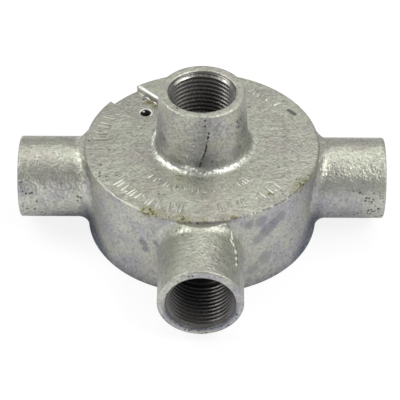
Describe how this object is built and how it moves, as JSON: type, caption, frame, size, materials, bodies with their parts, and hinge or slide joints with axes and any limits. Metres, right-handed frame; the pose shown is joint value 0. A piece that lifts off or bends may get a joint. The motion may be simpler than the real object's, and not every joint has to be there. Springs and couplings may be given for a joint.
{
  "type": "circular conduit box",
  "caption": "Round cast conduit box, open underneath, with threaded spouts to left, right and front and a threaded outlet standing on its back.",
  "frame": {"origin": "centre of the open rim, in the plane the cover seats on, midway between the two cover screws", "axes": "+Z out of the back outlet, -Y out of the front spout, -X and +X out of the left and right spouts"},
  "size_m": [0.1126, 0.0923, 0.0492],
  "materials": {
    "galvanised_iron": "hot-dip galvanised malleable iron, mottled matt grey, with dark oiled bores and a few spots of rust and old stain"
  },
  "bodies": {
    "root": {"conduit_box": "galvanised_iron"}
  },
  "joints": []
}
